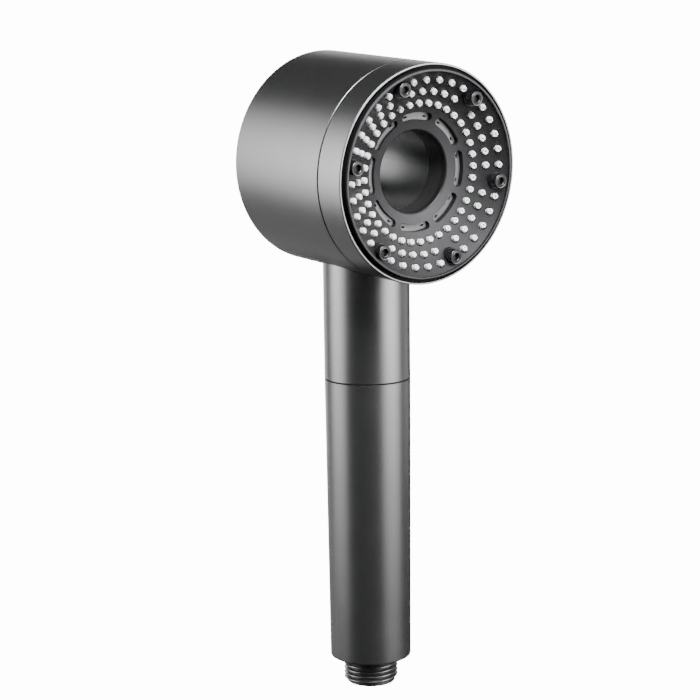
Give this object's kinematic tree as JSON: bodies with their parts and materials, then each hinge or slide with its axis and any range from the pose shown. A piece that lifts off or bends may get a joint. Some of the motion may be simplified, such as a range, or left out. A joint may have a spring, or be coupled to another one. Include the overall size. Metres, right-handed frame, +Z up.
{
  "type": "handheld shower head",
  "caption": "Handheld shower head with a hollow drum head, a turning spray face of soft nozzles and a screw-off handle that holds a filter.",
  "frame": {"origin": "centre of the inlet's end face, where the hose washer seats", "axes": "+Z up the handle towards the head, spray face towards -Y"},
  "size_m": [0.081, 0.0703, 0.245],
  "materials": {
    "coated_shell": "satin gunmetal coating",
    "spray_face": "satin dark grey coating",
    "bore_lining": "dark grey, moulded",
    "soft_nozzles": "white silicone",
    "pale_jets": "light grey",
    "black_plastic": "moulded black",
    "black_rubber": "smooth",
    "dark_screws": "black oxide",
    "spring_steel": "bright",
    "brass_inserts": "knurled",
    "filter_felt": "melt-blown felt",
    "white_plastic": "moulded white",
    "fine_mesh": "perforated"
  },
  "bodies": {
    "handle": {"handle_tube": "coated_shell", "inlet_fitting": "coated_shell", "inlet_seal": "black_rubber", "inlet_strainer": "fine_mesh", "flow_regulator": "pale_jets", "filter_cap_lower": "white_plastic", "filter_core": "filter_felt", "filter_cap_upper": "white_plastic", "filter_seal": "black_rubber"},
    "washer": {"joint_washer": "black_rubber"},
    "head": {"head_shell": "coated_shell", "water_core": "black_plastic", "valve_plate": "white_plastic", "valve_seals": "black_rubber", "click_spring": "spring_steel", "retaining_clip": "spring_steel", "bore_sleeve": "bore_lining", "rear_cover": "coated_shell", "core_screws": "spring_steel", "spigot_seal": "black_rubber"},
    "face": {"front_ring": "coated_shell", "spray_plate": "spray_face", "nozzle_mat": "soft_nozzles", "jet_ring": "pale_jets", "spray_chamber": "black_plastic", "face_screws": "dark_screws", "screw_inserts": "brass_inserts", "face_gasket": "black_rubber"}
  },
  "joints": [
    {"name": "neck_lift", "type": "slide", "parent": "handle", "child": "washer", "axis": [0, 0, 1], "range_m": [0, 0.009]},
    {"name": "neck_screw", "type": "hinge", "parent": "washer", "child": "head", "pos_m": [0, 0, 0.12155], "axis": [0, 0, 1], "range_deg": [0, 1080]},
    {"name": "spray_select", "type": "hinge", "parent": "head", "child": "face", "pos_m": [0, 0, 0.20332], "axis": [0, -0.999, -0.0454], "range_deg": [0, 60], "deforming": ["click_spring"]}
  ],
  "couplings": [
    {"joint": "neck_lift", "follows": "neck_screw", "m_per_rad": 0.00047746}
  ]
}
